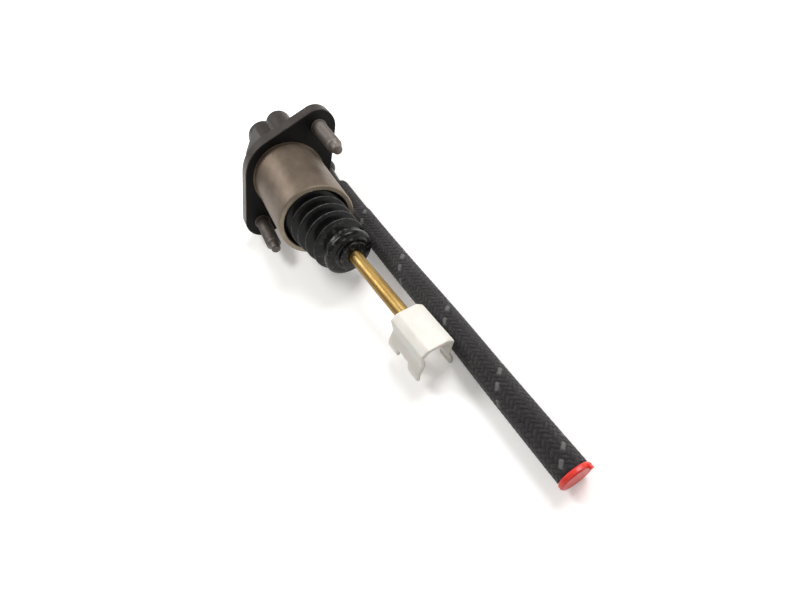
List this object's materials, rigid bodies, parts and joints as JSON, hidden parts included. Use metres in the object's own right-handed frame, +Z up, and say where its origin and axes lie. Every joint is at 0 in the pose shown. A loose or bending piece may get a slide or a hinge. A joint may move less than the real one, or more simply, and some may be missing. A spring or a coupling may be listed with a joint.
{
  "type": "clutch master cylinder",
  "caption": "Hydraulic clutch master cylinder with a studded rhombic flange, bright turned barrel, rubber boot, pushrod with pedal clip, and a braided feed hose.",
  "frame": {"origin": "centre of the flange's mounting face, on the axis of the bore", "axes": "+X along the bore towards the pedal, +Y to the side where the feed hose lies, +Z up; the part lies on a flank of its flange, the hose and the pedal clip's foot at z = -30.3 mm"},
  "size_m": [0.3227, 0.0952, 0.0606],
  "materials": {
    "cast_black": "semi-matt black coating over a sand-textured casting, rubbed grey-brown at its edges",
    "turned_steel": "fine-turned satin steel with a warm grey-brown tone",
    "phosphated_steel": "matt grey-brown phosphate",
    "yellow_zinc": "yellow chromated zinc plating with faint green and pink tints",
    "plain_steel": "plain bright steel",
    "machined_aluminium": "fine-machined aluminium",
    "black_rubber": "matt black rubber, slightly dusty",
    "natural_nylon": "translucent natural white nylon",
    "black_plastic": "matt black glass-filled plastic",
    "braided_hose": "rubber hose under a tight black textile braid with grey tracer stitches",
    "red_plastic": "soft red polythene"
  },
  "bodies": {
    "cylinder": {"cylinder_body": "cast_black", "barrel_sleeve": "turned_steel", "stud_upper": "phosphated_steel", "stud_lower": "phosphated_steel", "primary_seal": "black_rubber", "feed_ring": "natural_nylon", "secondary_seal": "black_rubber", "guide_bush": "natural_nylon", "stop_washer": "plain_steel", "circlip": "phosphated_steel", "spring_seat": "plain_steel", "return_spring": "plain_steel", "boot": "black_rubber", "hose_elbow": "black_plastic", "port_grommet": "black_rubber", "connector_pin": "plain_steel", "feed_hose": "braided_hose"},
    "plunger": {"plunger": "machined_aluminium", "rod_retainer": "natural_nylon"},
    "pushrod": {"pushrod": "yellow_zinc"},
    "clip": {"pedal_clip": "natural_nylon"},
    "plug": {"hose_plug": "red_plastic"}
  },
  "joints": [
    {"name": "plunger_stroke", "type": "slide", "parent": "cylinder", "child": "plunger", "axis": [-1, 0, 0], "range_m": [0, 0.028], "stiffness_N_per_m": 900, "springref_m": -0.02, "deforming": ["return_spring", "boot"]},
    {"name": "pushrod_swing", "type": "hinge", "parent": "plunger", "child": "pushrod", "pos_m": [0.00295, 0, 0], "axis": [0, -0.6724, -0.7401], "range_deg": [0, 11]},
    {"name": "clip_turn", "type": "hinge", "parent": "pushrod", "child": "clip", "pos_m": [0.16358, 0.01236, -0.01123], "axis": [0.9946, 0.0765, -0.0695], "range_deg": [-24, 2]},
    {"name": "plug_pull", "type": "slide", "parent": "cylinder", "child": "plug", "axis": [0.9993, 0.0372, 0.0098], "range_m": [0, 0.018]}
  ]
}
